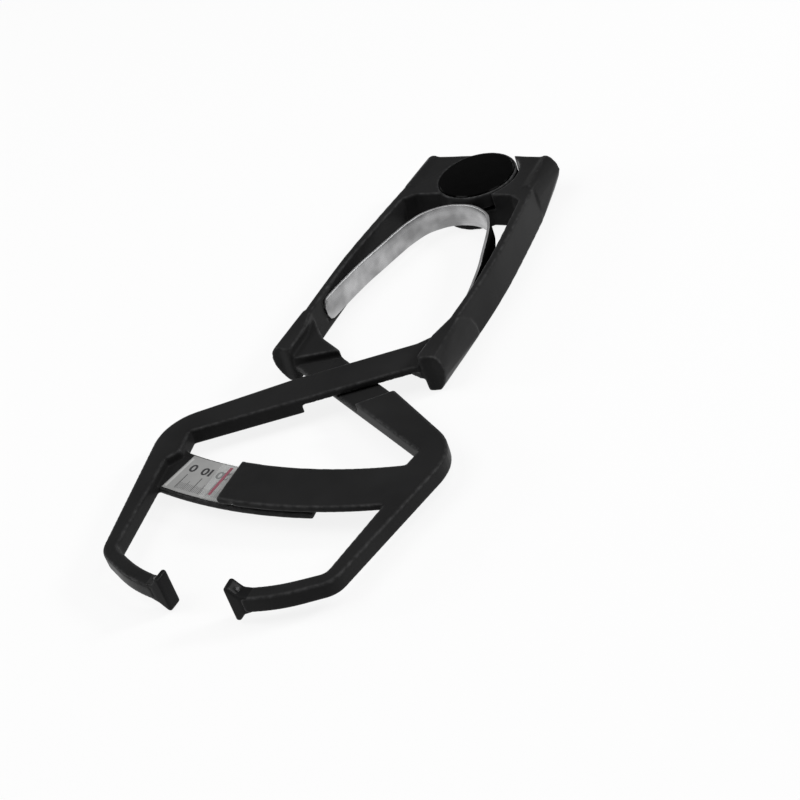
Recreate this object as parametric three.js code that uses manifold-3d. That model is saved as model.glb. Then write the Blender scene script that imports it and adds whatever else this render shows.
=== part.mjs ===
// A skinfold caliper: two moulded arms that cross below a hub, with a steel hairpin spring between
// the legs, a scale on the thumb arm and a clear reading window on the finger arm. Squeezing the
// legs opens the jaws. Millimetres, +Z up. It lies flat, hub at the origin, jaws towards -Y.

import * as THREE from 'three';
import { mergeVertices } from 'three/addons/utils/BufferGeometryUtils.js';
import Module from 'manifold-3d';

const wasm = await Module();
wasm.setup();

// Overall sizes that drive the rest.
const jaw_radius = 250;        // pivot to the middle of a contact pad
const knee_half_span = 56.5;   // centreline to the outer corner of a knee, arms closed
const leg_reach = 122;         // pivot to the end of a finger rest
const leg_half_span = 41;      // centreline to the outside of a leg at its end
const body_depth = 15.5;       // height of the pads when the caliper lies flat
const leg_drop = 1.2;          // how much further the hub and legs reach down than the pads
const bar_depth = 7;           // height of the bars, jaw arms and jaws
const rest_opening_deg = 6.2;  // angle between the arms as modelled
const full_opening_deg = 15.8; // angle between the arms when the legs are squeezed together

// Clearances.
const seat_gap = 0.3;          // between a piece and its seat
const running_gap = 0.1;       // between the bush and the bores that turn on it
const lay_gap = 0.05;          // between a thin piece and the face it lies on
const lap_gap = 0.8;           // between the two bars where they cross
const stop_gap = 0.6;          // between a bar and its stop at full opening
const overrun = 2;             // how far a cutting solid runs past what it cuts
const weld_gap = 1e-4;         // vertices nearer than this are one
const edge_round = 0.7;        // rounded edges of the mouldings

// Widths of the mouldings, seen from above.
const bar_width_leg = 15.6;
const bar_width_mid = 15.2;
const bar_width_knee = 11;
const arm_width_knee = 9.8;
const arm_width_bend = 5.6;
const jaw_height = 6.2;
const leg_width_hub = 4.3;
const leg_width_end = 3.2;
const rest_width = 5.6;        // thickness of a finger rest at its end
const rest_length = 26;
const rest_tip_round = 1.3;
const rest_start_share = 1.3;  // where a rest is at full thickness, as gusset lengths from its end
const swell_length = 36;       // swelling on the outside of a finger rest
const swell_rise = 4.7;
const swell_step = 0.4;        // how far the swelling's start stands out of the leg
const leg_lean = 0.8;          // how far a leg's lower edge stands out beyond its upper edge
const gusset_length = 10;      // inside corner between leg and bar
const gusset_share = 0.12;     // where that corner meets the bar, along the bar
const lap_step_share = 0.3;    // bar left at full depth below the crossing, a share of its width
const taper_share = 0.6;       // where a leg has reached its end width, along the leg
const wall_start_share = 0.18; // where the wall between a bar and the band starts, along the bar
const wall_lean_deg = 1.6;     // how far the wall's foot stands out on either side
const wall_bite = 3;           // how far the wall's foot reaches into the band
const wall_run_share = 0.76;   // how far it runs on beside the jaw arm, a share of the band's width

// The swelling of a finger rest, from its upper edge to its lower. At the rest's end: out of the leg
// as a share of swell_rise, and down as a share of the leg's depth. At the arched start: down as a
// share of the leg's depth, and back from the end as a share of swell_length.
const swell_end_shares = [
  [0.4, 0],
  [0.84, 0.15],
  [1, 0.34],
  [0.9, 0.56],
  [0.5, 0.79],
  [0.1, 0.93],
];
const swell_start_shares = [
  [0, 0.72],
  [0.13, 0.79],
  [0.41, 0.93],
  [0.65, 0.98],
  [0.93, 0.99],
];

// Corner radii of the mouldings, seen from above.
const bow_radius = 120;
const knee_radius = 20;
const knee_inner_radius = 3;
const bend_radius = 10;
const bend_inner_radius = 4.5;
const jaw_bow_radius = 60;
const lug_radius = 3;

// Outer corners of a knee, jaw arm and jaw, arms closed: x as a share of knee_half_span and y as a
// share of jaw_radius.
const jaw_arm_shares = [
  [1, -0.679],
  [0.66, -0.964],
  [0.336, -1.0015],
];

// The bar's foot on the leg, as shares of leg_half_span and leg_reach, and the slight bend in the
// bar: x as a share of knee_half_span and y as a share of the way from the foot to the knee.
const bar_foot_shares = [-0.805, -0.8566];
const bar_bend_shares = [0.248, 0.4866];

// Outer face of a leg from the hub to its end: shares of leg_half_span and leg_reach.
const leg_outer_shares = [
  [-0.768, -0.06],
  [-0.853, -0.246],
  [-0.941, -0.475],
  [-0.982, -0.705],
  [-1, -0.99],
];

// Hub and lugs.
const hub_radius = 17.8;
const hub_slot = 1.2;          // radial gap between a knuckle and the other arm's lug
const knuckle_gap = 1.4;       // axial gap between the knuckles, filled by the thrust washer
const lug_rise = 15.8;         // lug beyond the pivot
const lug_drop = 13.4;         // lug on the near side of the pivot, towards the jaws
const lug_share = 0.7415;      // half width of a lug, a share of leg_half_span

// Corners of a lug, and of the web that joins it to its leg. Each x is a share of lug_half_width, and
// each y a share of lug_rise above the pivot, of lug_drop below it.
const lug_half_width = lug_share * leg_half_span;
const lug_foot_share = 0.78;
const leg_root_share = 0.13;   // where a leg leaves its lug, a share of leg_reach
const lug_far_share = -0.84;
const lug_waist_shares = [-1.055, -0.9];
const web_root_share = 0.5;    // where the web starts beside the hub, a share of hub_radius
const web_corner_shares = [-0.95, 0.35];
const web_waist_shares = [-1.04, -0.6];

// The round bead along a lug's outer side, from its crest to the lower edge: x at the far end and x
// beside the hub, each a share of lug_half_width, and how far down, a share of the leg's depth.
const bead_shares = [
  [-0.885, -0.98, -0.055],
  [-0.95, -1.03, 0],
  [-1.02, -1.06, 0.165],
  [-1.045, -1.07, 0.35],
  [-1.01, -1.065, 0.53],
  [-0.95, -1.055, 0.725],
  [-0.87, -1.045, 1],
];
const bead_root_shares = [-0.79, -0.85];
const bead_end_share = 0.55;   // where the bead ends, a share of lug_drop

// Pivot stack.
const hub_wall = 1.2;          // rim of the hub around a cap
const cap_proud = 0.2;         // how far the upper cap's edge stands out of the hub
const cap_dome = 0.2;
const dome_share = 0.75;       // height of the dome halfway out
const screw_radius = 2.5;
const head_radius = 5.4;
const head_depth = 1.8;
const socket_radius = 2.6;
const socket_depth = 1;
const washer_radius = 6.6;
const washer_depth = 0.8;
const bush_wall = 1.4;
const bush_half_length = 3;
const thrust_radius = 12;

// Scale and reading window. The ends are measured along the scale's outer edge from the inner face
// of the other arm's jaw arm, arms closed.
const scale_share = 0.824;     // outer edge of the scale, a share of jaw_radius
const scale_width = 21;
const strip_shift = 0.8;       // how far the strip lies nearer to the pivot than the cover
const strip_share = 0.4;       // depth of the strip, a share of the bar's
const strip_end_gap = 7.25;
const cover_share = 0.443;     // depth of the cover, a share of the bar's
const cover_round = 0.5;
const cover_end_gap = 10.3;
const end_skew_deg = 0.62;     // slant of the ends of cover and window
const band_root_share = 0.77;  // how far a band runs into its jaw arm, a share of the arm's width
const label_depth = 0.25;
const label_rim = 1.1;
const label_end_gap = 8.35;
const label_root_gap = 1.2;    // between the label and the jaw arm that it starts from
const window_share = 0.214;    // depth of the window, a share of the bar's
const window_rim = 1.6;
const window_end_gap = 0.9;
const window_length = 16.8;
const line_place = 4.3;        // from the window's end to the reading line
const line_width = 0.8;
const line_depth = 0.2;
const rivet_radius = 0.9;
const rivet_head_radius = 1.6;
const rivet_head_depth = 0.5;
const rivet_bite_share = 0.5;  // how far a rivet reaches into the cover over the window
const rivet_spread_share = 0.3;
const rivet_place_share = 0.77; // along the window from its end

// Contact pads.
const pad_height = 5.9;
const pad_plate = 1.7;
const pad_flare = 3.4;         // length of the flared neck behind the plate
const pad_gap = 0.3;           // between the two pads when the arms are closed
const pad_round = 0.5;
const pad_corner = 0.75;
const pad_step = 0.4;          // how much deeper the neck is than the jaw, above and below
const tongue_share = 0.6;      // tongue of the jaw, a share of its height and depth
const pad_pin_radius = 0.7;
const pad_pin_proud = 0.3;
const pad_pin_share = 0.65;    // where the pin crosses the flared neck

// Spring.
const spring_width = 10.5;
const spring_thickness = 1.1;
const spring_corner = 3.6;     // rounded corners of the spring's ends
const spring_tip_share = 0.71; // where the spring ends along a leg, a share of leg_reach
const seat_depth = 0.9;        // pocket in a leg that holds an end of the spring
const seat_length = 9;

// Half of the hairpin's outside, from its middle to a tip: shares of its half width and length.
const spring_outer_shares = [
  [0.156, 0.007],
  [0.313, 0.037],
  [0.488, 0.101],
  [0.594, 0.19],
  [0.665, 0.278],
  [0.79, 0.49],
  [0.863, 0.616],
  [0.94, 0.807],
];

// Counts of steps along curves.
const curve_steps = 40;
const arc_steps = 8;
const round_sides = 48;
const small_sides = 24;
const hex_sides = 6;
const spring_steps = 96;
const band_step_deg = 1.2;
const edge_steps = 2;

const deg = Math.PI / 180;
const half_body = body_depth / 2;
const leg_depth = body_depth + leg_drop;
const leg_low = half_body - leg_depth;
const half_bar = bar_depth / 2;
const half_lap = lap_gap / 2;
const half_rest_angle = rest_opening_deg / 2 * deg;

// Solids: manifold-3d for what is cut or joined, three.js geometry for the shapes.

function solid_of(geometry) {
  const plain = geometry.clone();
  plain.deleteAttribute('normal');
  plain.deleteAttribute('uv');
  const merged = mergeVertices(plain.index ? plain.toNonIndexed() : plain, weld_gap);
  return new wasm.Manifold(new wasm.Mesh({
    numProp: 3,
    vertProperties: new Float32Array(merged.attributes.position.array),
    triVerts: new Uint32Array(merged.index.array),
  }));
}

function geometry_of(solid) {
  const mesh = solid.getMesh();
  const geometry = new THREE.BufferGeometry();
  geometry.setAttribute('position', new THREE.BufferAttribute(new Float32Array(mesh.vertProperties), 3));
  geometry.setIndex(new THREE.BufferAttribute(new Uint32Array(mesh.triVerts), 1));
  geometry.computeVertexNormals();
  return geometry;
}

// An outline drawn with x across the depth and y along the caliper, run through its whole width.
function crosswise(outline, half_width) {
  const geometry = new THREE.ExtrudeGeometry(new THREE.Shape(outline), {
    depth: 2 * half_width,
    bevelEnabled: false,
  });
  geometry.applyMatrix4(new THREE.Matrix4().makeBasis(
    new THREE.Vector3(0, 0, 1),
    new THREE.Vector3(0, 1, 0),
    new THREE.Vector3(-1, 0, 0),
  ));
  geometry.translate(half_width, 0, 0);
  return solid_of(geometry);
}

function joined(...solids) {
  return solids.reduce((sum, solid) => sum.add(solid));
}

// A closed outline raised from z_low to z_high, with its top and bottom edges rounded by round.
function slab(outline, z_low, z_high, round = 0) {
  const geometry = new THREE.ExtrudeGeometry(new THREE.Shape(outline), {
    depth: z_high - z_low - 2 * round,
    bevelEnabled: round > 0,
    bevelThickness: round,
    bevelSize: round,
    bevelOffset: -round,
    bevelSegments: edge_steps,
    steps: 1,
  });
  geometry.translate(0, 0, z_low + round);
  return solid_of(geometry);
}

// The smallest convex block around some outlines, each at its own height.
const level = (points, z) => points.map(({ x, y }) => [x, y, z]);

function block_around(...levels) {
  return wasm.Manifold.hull(levels.flat());
}

function rod(radius, z_low, z_high, x = 0, y = 0, sides = round_sides) {
  const geometry = new THREE.CylinderGeometry(radius, radius, z_high - z_low, sides);
  geometry.rotateX(Math.PI / 2);
  geometry.translate(x, y, (z_low + z_high) / 2);
  return solid_of(geometry);
}

function ring(inner, outer, z_low, z_high, sides = round_sides) {
  const cut = rod(inner, z_low - overrun, z_high + overrun, 0, 0, sides);
  return rod(outer, z_low, z_high, 0, 0, sides).subtract(cut);
}

// Outlines, as lists of Vector2.

const point = (x, y) => new THREE.Vector2(x, y);

function circle(radius) {
  const outline = [];
  for (let i = 0; i < 2 * round_sides; i += 1) {
    outline.push(point(radius, 0).rotateAround(point(0, 0), Math.PI * i / round_sides));
  }
  return outline;
}

// A closed outline through corners, each a point and the radius that rounds it.
function rounded(corners) {
  const outline = [];
  corners.forEach(({ at, radius }, i) => {
    const before = corners[(i + corners.length - 1) % corners.length].at;
    const after = corners[(i + 1) % corners.length].at;
    if (!radius) {
      outline.push(at.clone());
      return;
    }
    const back = before.clone().sub(at).normalize();
    const ahead = after.clone().sub(at).normalize();
    const half = Math.acos(THREE.MathUtils.clamp(back.dot(ahead), -1, 1)) / 2;
    const middle = back.clone().add(ahead).normalize();
    const centre = at.clone().addScaledVector(middle, radius / Math.sin(half));
    const start = at.clone().addScaledVector(back, radius / Math.tan(half)).sub(centre);
    const turn = (back.cross(ahead) > 0 ? 1 : -1) * (Math.PI - 2 * half);
    for (let step = 0; step <= arc_steps; step += 1) {
      outline.push(start.clone().rotateAround(point(0, 0), turn * -step / arc_steps).add(centre));
    }
  });
  return outline;
}

const corner = (x, y, radius = 0) => ({ at: point(x, y), radius });

function meeting_point(a, b, c, d) {
  const along = b.clone().sub(a);
  const other = d.clone().sub(c);
  const t = c.clone().sub(a).cross(other) / along.cross(other);
  return a.clone().addScaledVector(along, t);
}

// Polar point about the pivot, with the angle measured from the line down to the jaws.
function polar(radius, angle_deg) {
  return point(radius * Math.sin(angle_deg * deg), -radius * Math.cos(angle_deg * deg));
}

// Part of a ring about the pivot. skew_deg is how much further its first end reaches at the inner edge.
function band(inner, outer, start_deg, end_deg, skew_deg = 0) {
  const outline = [];
  const steps = Math.max(1, Math.round((end_deg - start_deg) / band_step_deg));
  for (let i = 0; i <= steps; i += 1) {
    outline.push(polar(outer, start_deg + (end_deg - start_deg) * i / steps));
  }
  for (let i = steps; i > 0; i -= 1) {
    outline.push(polar(inner, start_deg + (end_deg - start_deg) * i / steps));
  }
  outline.push(polar(inner, start_deg - skew_deg));
  return outline;
}

// The outside of a leg is one smooth curve.
const leg_curve = new THREE.SplineCurve(
  leg_outer_shares.map(([x, y]) => point(x * leg_half_span, y * leg_reach)),
);
const leg_end = leg_curve.getPoint(1);
const leg_along = leg_curve.getTangent(1);
const leg_inward = point(-leg_along.y, leg_along.x);
const rest_middle = [-1, 0].map(
  (step) => leg_end.clone().addScaledVector(leg_inward, rest_width / 2).addScaledVector(leg_along, step),
);

// The limb of an arm: bar, knee, jaw arm and jaw.

const pad_back = pad_gap / 2 + pad_plate + pad_flare;
const jaw_arm_corners = jaw_arm_shares.map(([x, y]) => point(x * knee_half_span, y * jaw_radius));
const bar_foot = point(bar_foot_shares[0] * leg_half_span, bar_foot_shares[1] * leg_reach);
const limb_outer = [
  bar_foot,
  point(
    bar_bend_shares[0] * knee_half_span,
    bar_foot.clone().lerp(jaw_arm_corners[0], bar_bend_shares[1]).y,
  ),
  ...jaw_arm_corners,
  point(pad_back + seat_gap, -jaw_radius - jaw_height / 2),
];
const limb_widths = [
  [bar_width_leg, bar_width_mid],
  [bar_width_mid, bar_width_knee],
  [arm_width_knee, arm_width_bend],
  [arm_width_bend, jaw_height],
  [jaw_height, jaw_height],
];
const limb_inner_lines = limb_widths.map(([first, last], i) => {
  const along = limb_outer[i + 1].clone().sub(limb_outer[i]).normalize();
  const inward = point(along.y, -along.x);
  return [
    limb_outer[i].clone().addScaledVector(inward, first),
    limb_outer[i + 1].clone().addScaledVector(inward, last),
  ];
});
const limb_inner = [meeting_point(...limb_inner_lines[0], ...rest_middle)];
for (let i = 0; i + 1 < limb_inner_lines.length; i += 1) {
  limb_inner.push(meeting_point(...limb_inner_lines[i], ...limb_inner_lines[i + 1]));
}
limb_inner.push(point(pad_back + seat_gap, -jaw_radius + jaw_height / 2));
const outer_radii = [0, bow_radius, knee_radius, bend_radius, jaw_bow_radius, 0];
const inner_radii = [0, bow_radius, knee_inner_radius, bend_inner_radius, jaw_bow_radius, 0];
const limb_outline = rounded([
  ...limb_outer.map((at, i) => ({ at, radius: outer_radii[i] })),
  ...limb_inner.map((at, i) => ({ at, radius: inner_radii[i] })).reverse(),
]).reverse();

// Angle about the pivot, from the line down to the jaws, at which a straight edge crosses a radius.
function crossing_deg(from, to, radius) {
  const run = to.clone().sub(from);
  const nearest = -from.dot(run) / run.lengthSq();
  const foot = from.clone().addScaledVector(run, nearest);
  const reach = Math.sqrt(radius ** 2 - foot.lengthSq()) / run.length();
  const { x, y } = from.clone().addScaledVector(run, nearest + reach);
  return Math.atan2(x, -y) / deg;
}

const scale_outer_radius = scale_share * jaw_radius;
const scale_inner_radius = scale_outer_radius - scale_width;
const jaw_arm_inside_deg = crossing_deg(...limb_inner_lines[2], scale_outer_radius);
const jaw_arm_outside_deg = crossing_deg(limb_outer[2], limb_outer[3], scale_outer_radius);
const band_root_deg = THREE.MathUtils.lerp(jaw_arm_inside_deg, jaw_arm_outside_deg, band_root_share);

// The wall that closes the corner between a bar and the band of the scale.
const bar_low = limb_inner_lines[1];
const wall_top = bar_low[1].clone().lerp(bar_low[0], wall_start_share);
const wall_foot_deg = Math.atan2(wall_top.x, -wall_top.y) / deg - wall_lean_deg;
const wall_end_radius = scale_inner_radius + wall_run_share * scale_width;
const wall_end_deg = crossing_deg(...limb_inner_lines[2], wall_end_radius) + wall_lean_deg;
const wall_corners = [
  wall_top,
  polar(scale_inner_radius + wall_bite, wall_foot_deg),
  polar(wall_end_radius, wall_end_deg),
  limb_inner[2].clone().add(limb_outer[2]).divideScalar(2),
];
const knee_wall = wasm.CrossSection.hull([wall_corners.map(({ x, y }) => [x, y])])
  .toPolygons()[0]
  .map(([x, y]) => point(x, y));

// The inside of a leg, from the hub to its end.

function leg_width(t) {
  return THREE.MathUtils.lerp(leg_width_hub, leg_width_end, Math.min(1, t / taper_share));
}

function leg_inside(t, extra = 0) {
  const along = leg_curve.getTangent(t);
  return leg_curve.getPoint(t).addScaledVector(point(-along.y, along.x), leg_width(t) + extra);
}

function leg_outline() {
  const outline = [];
  for (let i = 0; i <= curve_steps; i += 1) outline.push(leg_curve.getPoint(i / curve_steps));
  for (let i = curve_steps; i >= 0; i -= 1) outline.push(leg_inside(i / curve_steps));
  return outline;
}

// Where the leg curve reaches a share of leg_reach.
function leg_parameter(share) {
  let low = 0;
  let high = 1;
  for (let i = 0; i < round_sides; i += 1) {
    const middle = (low + high) / 2;
    if (leg_curve.getPoint(middle).y > -share * leg_reach) low = middle;
    else high = middle;
  }
  return low;
}

const leg_root = leg_parameter(leg_root_share);

// The finger rest: the leg thickens to rest_width at its end.
function rest_outline() {
  const start = leg_parameter((leg_reach - rest_length) / leg_reach);
  const inside = leg_end.clone().addScaledVector(leg_inward, rest_width);
  const outline = [];
  for (let i = 0; i <= arc_steps; i += 1) {
    outline.push({ at: leg_curve.getPoint(start + (1 - start) * i / arc_steps), radius: 0 });
  }
  outline.push({ at: inside.clone().addScaledVector(leg_along, rest_tip_round), radius: rest_tip_round });
  outline.push({
    at: inside.clone().addScaledVector(leg_along, -gusset_length * rest_start_share),
    radius: gusset_length,
  });
  outline.push({ at: leg_inside(start), radius: 0 });
  return rounded(outline);
}

// The swelling of a finger rest: it starts as a low arched step on the leg and is thickest at the end.
function swelling() {
  const on_leg = (back, out, down) => {
    const wall = leg_curve.getPoint(leg_parameter(1 - back * swell_length / leg_reach));
    return level([wall.addScaledVector(leg_inward, -out)], half_body - down * leg_depth);
  };
  const ends = swell_end_shares.map(([out, down]) => on_leg(0, out * swell_rise, down));
  const starts = swell_start_shares.map(([down, back]) => on_leg(back, swell_step, down));
  const roots = [0, 1].map((down) => on_leg(0, -leg_width_end / 2, down));
  const start_roots = swell_start_shares.map(([down, back]) => on_leg(back, -leg_width_end / 2, down));
  return block_around(...ends, ...starts, ...roots, ...start_roots);
}

// A solid leaned outwards, so that its lower edge stands leg_lean beyond its upper edge.
function leaned(solid) {
  const slope = leg_lean / leg_depth;
  return solid.transform([1, 0, 0, 0, 0, 1, 0, 0, slope, 0, 1, 0, -slope * half_body, 0, 0, 1]);
}

// The pocket in a leg that holds an end of the spring.
const seat_start = leg_parameter(spring_tip_share - seat_length / leg_reach);
const seat_end = leg_parameter(spring_tip_share + seat_gap / leg_reach);

function spring_seat() {
  const outline = [];
  for (let i = 0; i <= arc_steps; i += 1) {
    outline.push(leg_inside(seat_start + (seat_end - seat_start) * i / arc_steps, -seat_depth));
  }
  outline.push(leg_inside(seat_end, overrun));
  outline.push(leg_inside(seat_start, overrun));
  const half = spring_width / 2 + seat_gap;
  return slab(outline, -half, half);
}

// A lug: a plate as deep as the leg, and the bead along its outer side.
const lug_outline = rounded([
  corner(0, lug_rise),
  corner(lug_far_share * lug_half_width, lug_rise),
  corner(lug_waist_shares[0] * lug_half_width, lug_waist_shares[1] * lug_drop, lug_radius),
  corner(-lug_half_width * lug_foot_share, -lug_drop),
  corner(0, -lug_drop),
]);

function lug() {
  const ends = [lug_rise, -bead_end_share * lug_drop];
  const across = (shares) => shares.map((share, i) => point(share * lug_half_width, ends[i]));
  const surface = bead_shares.map(([far, near, down]) => (
    level(across([far, near]), half_body - down * leg_depth)
  ));
  const root = across(bead_root_shares);
  const bead = block_around(...surface, level(root, leg_low), level(root, half_body));
  return slab(lug_outline, leg_low, half_body, edge_round).add(bead);
}

const web_outline = rounded([
  corner(-hub_radius * web_root_share, lug_rise * web_corner_shares[1]),
  corner(web_corner_shares[0] * lug_half_width, lug_rise * web_corner_shares[1], lug_radius),
  corner(web_waist_shares[0] * lug_half_width, web_waist_shares[1] * lug_drop),
  { at: leg_curve.getPoint(leg_root), radius: 0 },
  { at: leg_inside(leg_root), radius: 0 },
  corner(-lug_half_width * lug_foot_share, -lug_drop, lug_radius),
  corner(-hub_radius * web_root_share, -lug_drop),
]);

// The stretch of bar that the other bar sweeps over, between closed and full opening.
function swept_outline() {
  const turned = (p) => point(-p.x, p.y).rotateAround(point(0, 0), -full_opening_deg * deg);
  const stop = [turned(limb_outer[1]), turned(limb_outer[0])];
  const up = stop[0].clone().sub(stop[1]).normalize();
  const lift = point(up.y, -up.x).multiplyScalar(stop_gap);
  const step = [bar_low[0], limb_inner_lines[0][0]].map((p) => point(-p.x, p.y));
  const run = step[1].clone().sub(step[0]).normalize();
  const drop = point(run.y, -run.x).multiplyScalar(bar_width_leg * lap_step_share);
  const edges = [...stop.map((p) => p.add(lift)), ...step.map((p) => p.add(drop))];
  const tip = meeting_point(...edges);
  const far = (p) => p.clone().sub(tip).setLength(jaw_radius).add(tip);
  return [tip, far(edges[0]), far(edges[3])];
}

// An arm in its closed pose, leg at -X and jaw arm at +X. face is 1 for the finger arm, whose
// knuckle is on the upper side, and -1 for the thumb arm, whose knuckle is on the lower side.

function facing(face, low, high) {
  return face > 0 ? [low, high] : [-high, -low];
}

// How far the hub reaches from the middle of the bars, on a side.
const hub_reach = (face) => (face > 0 ? half_body : -leg_low);

function arm_body(face) {
  const limb = slab(limb_outline, -half_bar, half_bar, edge_round);
  const wall = slab(knee_wall, -half_bar, half_bar, edge_round);
  const leg = slab(leg_outline(), leg_low, half_body, edge_round);
  const rest = slab(rest_outline(), leg_low, half_body, edge_round);
  const gusset = block_around(level(gusset_points(), -half_bar), level(gusset_points(), half_bar));
  const sweep = slab(swept_outline(), ...facing(face, -half_lap, half_body + overrun));
  const web = slab(web_outline, leg_low, half_body, edge_round);
  const knuckle = slab(circle(hub_radius), ...facing(face, knuckle_gap / 2, hub_reach(face)), edge_round);
  const partner_end = -hub_reach(-face) - overrun;
  const partner = rod(hub_radius + hub_slot, ...facing(face, partner_end, knuckle_gap / 2));
  const moulding = leaned(joined(leg, rest, swelling(), gusset))
    .subtract(spring_seat())
    .add(joined(limb, wall))
    .subtract(sweep)
    .add(joined(lug(), web).subtract(partner))
    .add(knuckle);
  return moulding.subtract(hub_bore(face)).subtract(jaw_end());
}

// The inside corner between a leg and its bar.
function gusset_points() {
  const first = leg_parameter((leg_reach - rest_length) / leg_reach);
  const bar_top = [limb_outer[0], limb_outer[1]];
  const bar_top_inside = limb_inner_lines[0][0];
  return [
    leg_inside(first, -leg_width_end / 2),
    leg_inside(first),
    bar_top[0].clone().lerp(bar_top[1], gusset_share),
    bar_top_inside.clone().lerp(limb_inner_lines[0][1], gusset_share),
    leg_end.clone().addScaledVector(leg_inward, leg_width_end),
  ];
}

// The stepped bore of a knuckle: cap recess, screw or nut recess, pivot bore.
function hub_bore(face) {
  const recess = rod(cap_radius + seat_gap, ...facing(face, cap_floor, hub_reach(face) + overrun));
  const pocket = rod(pocket_radius, ...facing(face, pocket_floor, half_body));
  const bore = rod(bush_radius + running_gap, ...facing(face, 0, half_body));
  return joined(recess, pocket, bore);
}

// What is cut from the end of a jaw so that its tongue is left.
const tongue_half_height = tongue_share * jaw_height / 2;
const tongue_half_depth = tongue_share * half_bar;
const tongue_tip = pad_gap / 2 + pad_plate + seat_gap;
const tongue_root = pad_back + seat_gap;
const pin_x = pad_gap / 2 + pad_plate + pad_flare * pad_pin_share;

function block(x_low, x_high, y_low, y_high, z_low, z_high) {
  const geometry = new THREE.BoxGeometry(x_high - x_low, y_high - y_low, z_high - z_low);
  geometry.translate((x_low + x_high) / 2, (y_low + y_high) / 2, (z_low + z_high) / 2);
  return solid_of(geometry);
}

function tongue(grow, x_low, x_high) {
  return block(
    x_low,
    x_high,
    -jaw_radius - tongue_half_height - grow,
    -jaw_radius + tongue_half_height + grow,
    -tongue_half_depth - grow,
    tongue_half_depth + grow,
  );
}

function jaw_end() {
  const pin_hole = rod(pad_pin_radius + seat_gap, -half_bar, half_bar, pin_x, -jaw_radius, small_sides);
  const spare = block(
    0,
    tongue_root,
    -jaw_radius - jaw_height,
    -jaw_radius + jaw_height,
    -half_body,
    half_body,
  );
  return spare.subtract(tongue(0, tongue_tip, 2 * tongue_root)).add(pin_hole);
}

// Pivot stack: radii, and levels from the middle of the hub outwards.
const cap_radius = hub_radius - hub_wall;
const bush_radius = screw_radius + seat_gap + bush_wall;
const pocket_radius = washer_radius + seat_gap;
const pocket_floor = bush_half_length;
const washer_low = pocket_floor + seat_gap;
const fastener_low = washer_low + washer_depth + seat_gap;
const cap_floor = fastener_low + head_depth;
const cap_low = cap_floor + seat_gap;

// Bands about the pivot: the cover and the strip of the scale, and what lies on them. Each is drawn
// in its arm's closed pose, and its angles are positive towards that arm's own jaw arm.
function band_of(inner, outer, start_deg, end_deg, z_low, z_high, round = 0, skew_deg = 0) {
  return slab(band(inner, outer, start_deg, end_deg, skew_deg), z_low, z_high, round);
}

const cover_low = half_bar - cover_share * bar_depth;
const strip_high = -half_bar + strip_share * bar_depth;
const label_low = strip_high + lay_gap;
const window_depth = window_share * bar_depth;
const window_high = cover_low + lay_gap + window_depth;
const rivet_bite = rivet_bite_share * (half_bar - window_high);
const window_inner = scale_inner_radius + window_rim;
const window_outer = scale_outer_radius - window_rim / 2;
const degree_of = (length) => length / scale_outer_radius / deg;
const deg_from_arm = (gap) => degree_of(gap) - jaw_arm_inside_deg;
const cover_end_deg = deg_from_arm(cover_end_gap);
const window_end_deg = deg_from_arm(window_end_gap);
const window_root_deg = window_end_deg + degree_of(window_length);
const rivet_deg = window_end_deg + degree_of(window_length * rivet_place_share);
const reading_line_deg = window_end_deg + degree_of(line_place);
const label_root_deg = Math.min(wall_foot_deg, jaw_arm_inside_deg) - degree_of(label_root_gap);

function rivet_place(side) {
  const middle = (window_inner + window_outer) / 2;
  return polar(middle + side * rivet_spread_share * (window_outer - window_inner), rivet_deg);
}

function cover() {
  const body = band_of(
    scale_inner_radius,
    scale_outer_radius,
    cover_end_deg,
    band_root_deg,
    cover_low,
    half_bar,
    cover_round,
    end_skew_deg,
  );
  const pocket = band_of(
    window_inner - seat_gap,
    window_outer + seat_gap,
    cover_end_deg - degree_of(overrun),
    window_root_deg + degree_of(seat_gap),
    cover_low - overrun,
    window_high + seat_gap,
    0,
    end_skew_deg,
  );
  const holes = [-1, 1].map((side) => {
    const { x, y } = rivet_place(side);
    const depth = window_high + rivet_bite + 2 * seat_gap;
    return rod(rivet_radius + seat_gap, cover_low, depth, x, y, small_sides);
  });
  return body.subtract(joined(pocket, ...holes));
}

function strip() {
  return band_of(
    scale_inner_radius - strip_shift,
    scale_outer_radius - strip_shift,
    deg_from_arm(strip_end_gap),
    band_root_deg,
    -half_bar,
    strip_high,
    cover_round,
  );
}

function label() {
  return band_of(
    scale_inner_radius - strip_shift + label_rim,
    scale_outer_radius - strip_shift - label_rim,
    deg_from_arm(label_end_gap),
    label_root_deg,
    label_low,
    label_low + label_depth,
  );
}

function reading_window() {
  const plate = band_of(
    window_inner,
    window_outer,
    window_end_deg,
    window_root_deg,
    window_high - window_depth,
    window_high,
    0,
    end_skew_deg,
  );
  const holes = [-1, 1].map((side) => {
    const { x, y } = rivet_place(side);
    const sunk = window_high - window_depth + rivet_head_depth + seat_gap;
    const low = window_high - window_depth;
    const head = rod(rivet_head_radius + seat_gap, low - overrun, sunk, x, y, small_sides);
    return head.add(rod(rivet_radius + seat_gap, low, window_high + overrun, x, y, small_sides));
  });
  return plate.subtract(joined(...holes));
}

function window_rivet(side) {
  const { x, y } = rivet_place(side);
  const low = window_high - window_depth;
  const head = rod(rivet_head_radius, low, low + rivet_head_depth, x, y, small_sides);
  return head.add(rod(rivet_radius, low, window_high + seat_gap + rivet_bite, x, y, small_sides));
}

function reading_line() {
  const half = degree_of(line_width) / 2;
  const low = window_high + lay_gap;
  return band_of(
    window_inner + seat_gap,
    window_outer - seat_gap,
    reading_line_deg - half,
    reading_line_deg + half,
    low,
    low + line_depth,
  );
}

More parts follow.
